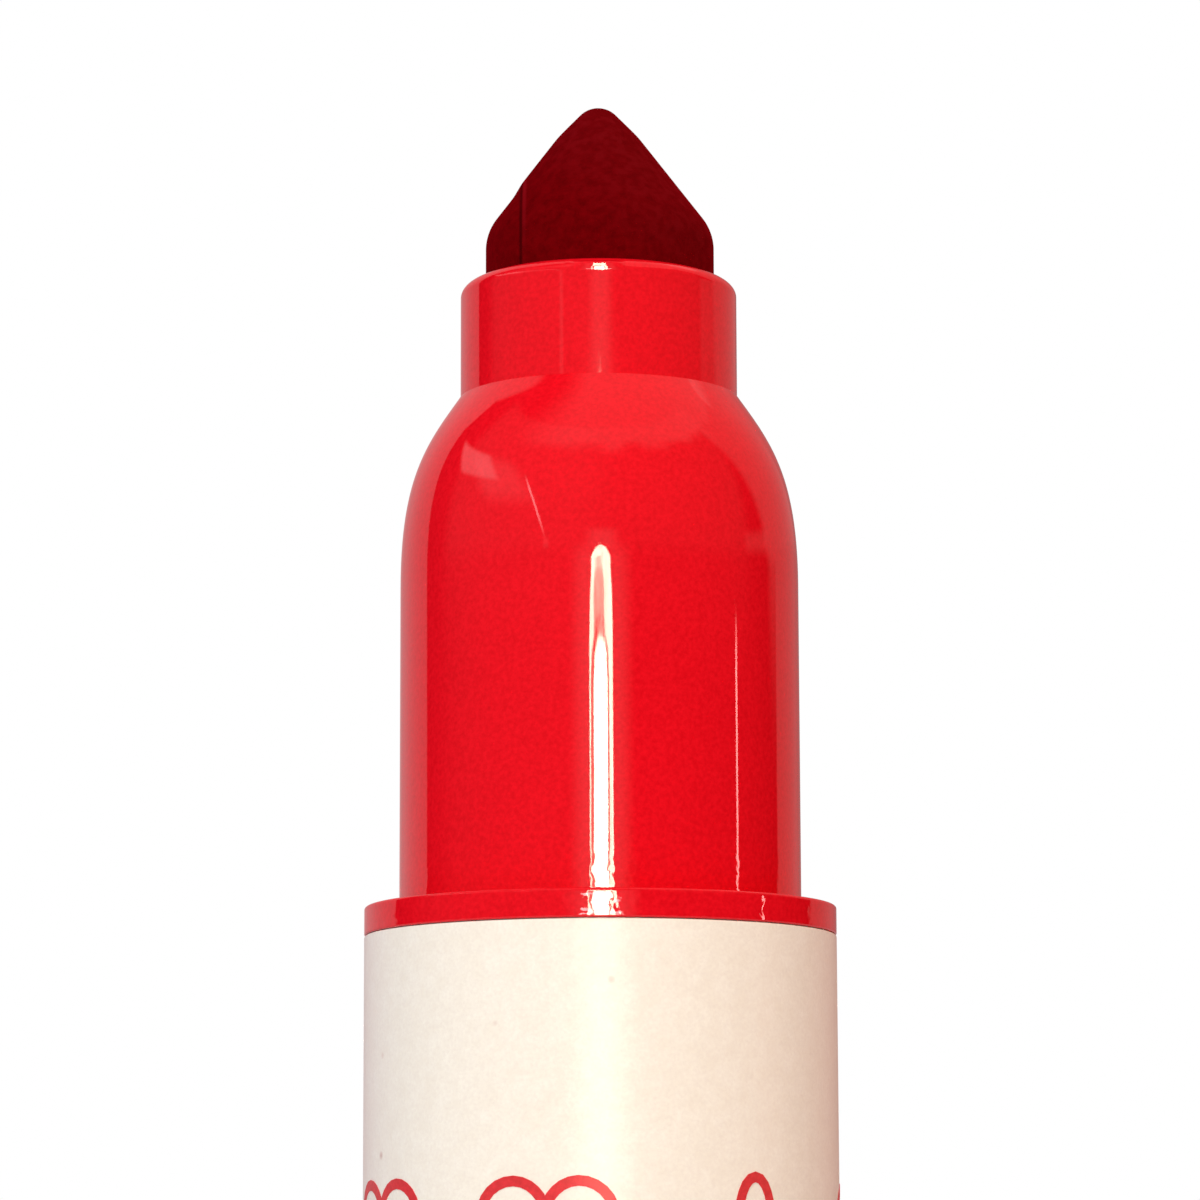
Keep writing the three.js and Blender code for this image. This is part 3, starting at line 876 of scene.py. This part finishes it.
def nib_outline():
    edge_start = nib_edge - edge_round * tan(cone_angle / 2)
    points = [(shank_radius, shank_end), (shank_radius, nib_floor - 0.2), (shank_radius, nib_floor)]
    points += [(nib_radius, nib_floor), (nib_radius, nib_floor + 0.2)]
    points += [(nib_radius, edge_start - 5 * side_gap + side_gap * i) for i in range(5)]
    # The angles are those of the surface's slope, so the arcs meet the cone without a corner
    points += arc_points((nib_radius - edge_round, edge_start), (edge_round, edge_round), 0, cone_angle, 14)
    side_start = points[-1]
    along_cone = 1 / tan(cone_angle)
    bend_start = (bend_radius, side_start[1] + (side_start[0] - bend_radius) * along_cone)
    points += [tuple(a + (b - a) * i / 32 for a, b in zip(side_start, bend_start)) for i in range(1, 32)]
    # The worn tip is blunter than the cone: a short curve leads from the cone into the tip's own slope
    tip = arc_points((0, nib_top - tip_round), (tip_round, tip_round), tip_angle, pi / 2, 14)
    tip_start = tip[0]
    along_tip = 1 / tan(tip_angle)
    rise_left = bend_start[1] - tip_start[1] + bend_start[0] * along_cone - tip_start[0] * along_tip
    bend_at = rise_left / (along_cone - along_tip)
    bend_pull = (bend_at, bend_start[1] + (bend_start[0] - bend_at) * along_cone)
    points += bezier_points(bend_start, bend_pull, bend_pull, tip_start, 16)
    return points + tip[1:-1]


def nib_ring(wide, height, on_shank, main_steps=144, flank_steps=40):
    slim = wide if on_shank else wide - flank_step * smooth((wide + flank_plane) / flank_fade)
    whole = on_shank or wide <= -flank_plane
    crease_angle = pi if whole else acos(flank_plane / wide)
    flank_angle = pi if whole else acos(flank_plane / slim)
    widest = pi - acos(flank_plane / nib_radius)
    ring = []
    for i in range(main_steps + 1):
        angle = -pi + tau * i / main_steps
        angle = min(max(angle, -crease_angle), crease_angle)
        ring.append((wide * cos(angle), wide * sin(angle), height))
    for i in range(flank_steps + 1):
        angle = pi - widest + 2 * widest * i / flank_steps
        angle = min(max(angle, flank_angle), tau - flank_angle)
        ring.append((slim * cos(angle), slim * sin(angle), height))
    return [tuple(c * MM for c in point) for point in ring]


work = bmesh.new()
rows = [
    [work.verts.new(point) for point in nib_ring(radius, z, z <= nib_floor and radius <= shank_radius)]
    for radius, z in nib_outline()
]
bottom = work.verts.new((0, 0, shank_end * MM))
top = work.verts.new((0, 0, nib_top * MM))
for i in range(len(rows[0])):
    j = (i + 1) % len(rows[0])
    for lower, upper in zip(rows, rows[1:]):
        work.faces.new((lower[i], lower[j], upper[j], upper[i]))
    work.faces.new((bottom, rows[0][j], rows[0][i]))
    work.faces.new((rows[-1][i], rows[-1][j], top))
bmesh.ops.remove_doubles(work, verts=work.verts, dist=nib_join_distance * MM)
nib_mesh = bpy.data.meshes.new("marker_nib_felt")
work.to_mesh(nib_mesh)
work.free()
nib_mesh.materials.append(felt)
nib = add_object("marker_nib_felt", nib_mesh)
make_plain(nib, sharp=radians(40))
seat(nib, "marker", "inked_felt", "marker_nib")

# %% [markdown]
# The label is a film wrapped round the barrel with a narrow gap at the back. It is a thin strip
# in outline, so the turning tree makes it too, with an arc a little short of a full turn and closed ends.

# %% Label
label_inset, label_thickness, label_seam = 0.04, 0.15, 0.5
seam_angle = label_seam / body_radius
label_top, label_bottom = barrel_top - label_inset, barrel_bottom + label_inset
turn_piece("barrel_label", "printed_label", label_film, [
    (body_radius - label_thickness, label_bottom, 0.03), (body_radius, label_bottom, 0.05),
    (body_radius, label_top, 0.07), (body_radius - label_thickness, label_top, 0.03),
], steps=200, first_angle=pi / 2 + seam_angle / 2, sweep=tau - seam_angle)

# %% [markdown]
# The label carries a light pattern of hearts, rounded stars and rings in thin red lines.
# The motifs are drawn flat, as loops of edges on an unrolled label. A second tree gives each loop
# a thin ribbon section and rolls it round the barrel, so the pattern follows the label exactly.

# %% The wrapping tree
tree, given, out = new_group(
    "wrapped print",
    {"Drawing": "Geometry", "Label Radius": 0.01, "Line Width": 0.00045, "Line Height": 0.00006,
     "Finish": "Material"},
    ["Geometry"],
)
loops = shape_node(tree, "MeshToCurve", {0: given["Drawing"]})
size = {"Width": given["Line Width"], "Height": given["Line Height"]}
section = shape_node(tree, "CurvePrimitiveQuadrilateral", size)
ribbon = shape_node(tree, "CurveToMesh", {"Curve": loops, "Profile Curve": section})
flat = split(shape_node(tree, "InputPosition", {}))
turn_by = over(flat["X"], given["Label Radius"])
out_to = plus(given["Label Radius"], flat["Z"])
rolled = {
    0: times(out_to, math_node("SINE", turn_by)),
    1: times(times(out_to, -1), math_node("COSINE", turn_by)),
    2: flat["Y"],
}
rolled = follow("ShaderNodeCombineXYZ", rolled)[0]
wrap_tree = end_tree(tree, given, out, shape_node(tree, "SetPosition", {"Geometry": ribbon, "Position": rolled}))

# %% [markdown]
# A printed film repeats its motifs in staggered rows. Each motif is a line loop round a smaller one,
# with a dot beside it. Those by the seam are moved clear of it, because the film ends there.

# %% Draw the motifs
def polar_loop(steps, point):
    return [point(tau * i / steps) for i in range(steps)]


def heart_loop(width, steps=56):
    def point(t):
        y = 13 * cos(t) - 5 * cos(2 * t) - 2 * cos(3 * t) - cos(4 * t)
        return 16 * sin(t) ** 3 * (width / 32), (y + 2.5) * (width / 32)
    return polar_loop(steps, point)


def star_loop(width, steps=60):
    def point(t):
        radius = width / 2 * (0.80 + 0.2 * cos(5 * t))
        return radius * sin(t), radius * cos(t)
    return polar_loop(steps, point)


def ring_loop(width, steps=40):
    return polar_loop(steps, lambda t: (width / 2 * cos(t), width / 2 * sin(t)))


MOTIFS = [
    [heart_loop(5.6), heart_loop(2.4)],
    [star_loop(5.4), ring_loop(1.6)],
    [ring_loop(4.8), star_loop(2.2)],
]
across_count, row_gap, first_row_drop, last_row_clearance = 7, 9.2, 13, 4
row_count = int((label_top - label_bottom - first_row_drop - last_row_clearance) / row_gap) + 1
column_gap = tau * body_radius / across_count
first_column = radians(-13) * body_radius
seam_x, seam_clearance = pi * body_radius, 3.2
vertices, edges = [], []


def draw(loop, x, y):
    start = len(vertices)
    vertices.extend(((x + px) * MM, (y + py) * MM, 0) for px, py in loop)
    edges.extend((start + i, start + (i + 1) % len(loop)) for i in range(len(loop)))


for row in range(row_count):
    for column in range(across_count):
        x = first_column + (column + 0.5 * (row % 2)) * column_gap
        y = label_top - first_row_drop - row * row_gap
        if abs(x - seam_x) < seam_clearance:
            x = seam_x + copysign(seam_clearance, x - seam_x)
        for loop in MOTIFS[(column + 2 * row) % 3]:
            draw(loop, x, y)
        draw(ring_loop(0.5, 14), x + column_gap / 2, y + 0.6)
label_print = add_mesh_object("label_print", vertices, edges)
line = {"Line Width": 0.43 * MM, "Line Height": 0.05 * MM}
run_tree(label_print, wrap_tree, {"Label Radius": body_radius * MM, **line, "Finish": print_ink})
seat(label_print, "marker", "label_print")
print("rows", row_count, "motifs", row_count * across_count)

# %% [markdown]
# At the other end the stamp nose takes the cap. It has the same flange and plug as the nose,
# and a socket for the ink pad. The bezel is the ring that clips over its neck and holds the die.

# %% Stamp nose and bezel
bezel_bore = bezel_radius - 0.7
neck_radius = bezel_bore - 0.05
socket_radius = neck_radius - 0.85
socket_back, wick_bore = socket_floor + 1.4, 3.05
stamp_plug_end = barrel_bottom + 9
turn_piece("stamp_nose", "red_plastic", glossy_red, [
    (socket_radius, neck_end, 0.08), (neck_radius, neck_end, 0.1), (neck_radius, stamp_shoulder),
    (nose_radius, stamp_shoulder, 0.8), (nose_radius, stamp_seat, 0.1), (body_radius, stamp_seat, 0.2),
    (body_radius, barrel_bottom, 0.16), (plug_radius, barrel_bottom),
    (plug_radius, stamp_plug_end - plug_chamfer, 0.1), (plug_radius - plug_chamfer, stamp_plug_end, 0.15),
    (cavity_radius, stamp_plug_end, 0.1), (cavity_radius, socket_back, 0.2), (wick_bore, socket_back, 0.1),
    (wick_bore, socket_floor, 0.1), (socket_radius, socket_floor, 0.2),
])

lip_bore, die_front = die_radius - 1.15, bezel_face + 1.15
turn_piece("stamp_bezel", "red_plastic", glossy_red, [
    (lip_bore, bezel_face, 0.15), (bezel_radius, bezel_face, 0.5), (bezel_radius, stamp_shoulder, 0.06),
    (bezel_bore, stamp_shoulder, 0.05), (bezel_bore, die_front, 0.05), (lip_bore, die_front, 0.1),
])

# %% [markdown]
# The die is a rubber disc with a raised heart outline round a small heart.
# The disc is turned. The hearts are walls with a narrow chamfer at the printing face,
# as cast rubber has, and they run into the disc.

# %% Stamp die
boss_radius, boss_face = lip_bore - 0.12, relief_face + 0.9
heart_steps, chamfer, heart_root = 96, 0.09, boss_face + 0.2


def heart_wall(work, width, hole_width=None):
    levels = [(width - 2 * chamfer, relief_face), (width, relief_face + chamfer), (width, heart_root)]
    if hole_width:
        levels += [(hole_width, heart_root), (hole_width, relief_face + chamfer)]
        levels.append((hole_width + 2 * chamfer, relief_face))
    rows = [
        [work.verts.new((-x * MM, y * MM, z * MM)) for x, y in heart_loop(size, heart_steps)] for size, z in levels
    ]
    if not hole_width:
        centre_face = work.verts.new((0, 0, relief_face * MM))
        centre_root = work.verts.new((0, 0, heart_root * MM))
    for i in range(heart_steps):
        j = (i + 1) % heart_steps
        if not hole_width:
            work.faces.new((centre_face, rows[0][i], rows[0][j]))
            work.faces.new((centre_root, rows[-1][j], rows[-1][i]))
        for first, second in zip(rows, rows[1:] + (rows[:1] if hole_width else [])):
            work.faces.new((first[i], second[i], second[j], first[j]))


def add_hearts(mesh):
    outer_width = 2 * (boss_radius - 0.9)
    inner_width = outer_width - 2.2
    work = bmesh.new()
    heart_wall(work, outer_width, inner_width)
    heart_wall(work, inner_width - 4)
    bmesh.ops.recalc_face_normals(work, faces=work.faces)
    relief = bpy.data.meshes.new("relief")
    work.to_mesh(relief)
    relief.materials.append(stamp_rubber)
    work.clear()
    work.from_mesh(mesh)
    work.from_mesh(relief)
    work.to_mesh(mesh)
    work.free()
    bpy.data.meshes.remove(relief)
    mesh.shade_smooth()
    mesh.set_sharp_from_angle(angle=SHARP)
    print("die faces:", len(mesh.polygons))


turn_piece("stamp_die", "stamp_rubber", stamp_rubber, [
    (0, boss_face), (boss_radius, boss_face, 0.4), (boss_radius, die_front, 0.05), (die_radius, die_front, 0.1),
    (die_radius, neck_end, 0.1), (0, neck_end),
], closed=False, add_detail=add_hearts)

# %% [markdown]
# The two caps share one outer wall with the flanges. The stamp cap stays on at rest and carries the marker.
# The nib cap stands beside it, closed end down, with the ring inside that holds its soft seal.
# Each closed end has a small dished mark where the plastic was let into the mould.

# %% Caps
cap_bore, cap_end_wall, cap_end_round = 8.65, 1.6, 1.2
CAP_END = [(0, 0.12), (0.9, 0.12, 0.1), (1.2, 0, 0.1), (body_radius, 0, cap_end_round)]


def cap_wall(rim):
    return [*CAP_END, (body_radius, rim, 0.18), (cap_bore, rim, 0.12), (cap_bore, cap_end_wall, 0.3)]


turn_piece("stamp_cap", "red_plastic", cap_red, [
    *cap_wall(stamp_seat), (0, cap_end_wall),
], "stamp_cap", closed=False)

nib_cap_place = tuple((low + high) / 2 for low, high in zip(nib_cap_low[:2], nib_cap_high[:2])) + (0,)
nib_seal_radius = (nib_seal_high[0] - nib_seal_low[0]) / 2
holder_bore, holder_wall, holder_top = nib_seal_radius + 0.05, 0.8, cap_end_wall + 3
turn_piece("nib_cap", "red_plastic", cap_red, [
    *cap_wall(nib_cap_high[2]),
    (holder_bore + holder_wall, cap_end_wall, 0.15), (holder_bore + holder_wall, holder_top, 0.12),
    (holder_bore, holder_top, 0.12), (holder_bore, cap_end_wall, 0.05), (0, cap_end_wall),
], "nib_cap", closed=False, place=nib_cap_place)

# %% [markdown]
# Inside each cap a soft pale cup seals the tip from the air. A cup has a floor,
# a thin wall and a rounded lip, so it is turned like the caps.

# %% Seals
def seal_cup(cap, bore, radius, top, place=(0, 0, 0)):
    floor_top = cap_end_wall + 0.8
    turn_piece(f"{cap}_liner", "soft_seal", seal_plastic, [
        (0, cap_end_wall), (radius, cap_end_wall, 0.1), (radius, top, 0.12), (bore, top, 0.2),
        (bore, floor_top, 0.25), (0, floor_top),
    ], cap, closed=False, place=place)


seal_cup("stamp_cap", bezel_radius + 0.05, stamp_seal_radius, stamp_seal_top)
seal_cup("nib_cap", nib_seal_radius - 0.9, nib_seal_radius, nib_seal_high[2], nib_cap_place)

# %% [markdown]
# Seven solids keep their own shape, because they are hidden or show only through the label's seam.
# They still get a real finish, for the times when the marker is taken apart.

# %% Dress the solids that stay
CARRIED_OVER = {
    white_plastic: ["barrel"],
    fibre_rod: ["nib_ink_reservoir", "stamp_ink_reservoir", "stamp_wick", "stamp_pad"],
    clear_film: ["nib_reservoir_film", "stamp_reservoir_film"],
}
for finish, nodes in CARRIED_OVER.items():
    for node in nodes:
        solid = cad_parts[node]
        solid.data.materials.clear()
        solid.data.materials.append(finish)
    print(finish.name, "on", nodes)
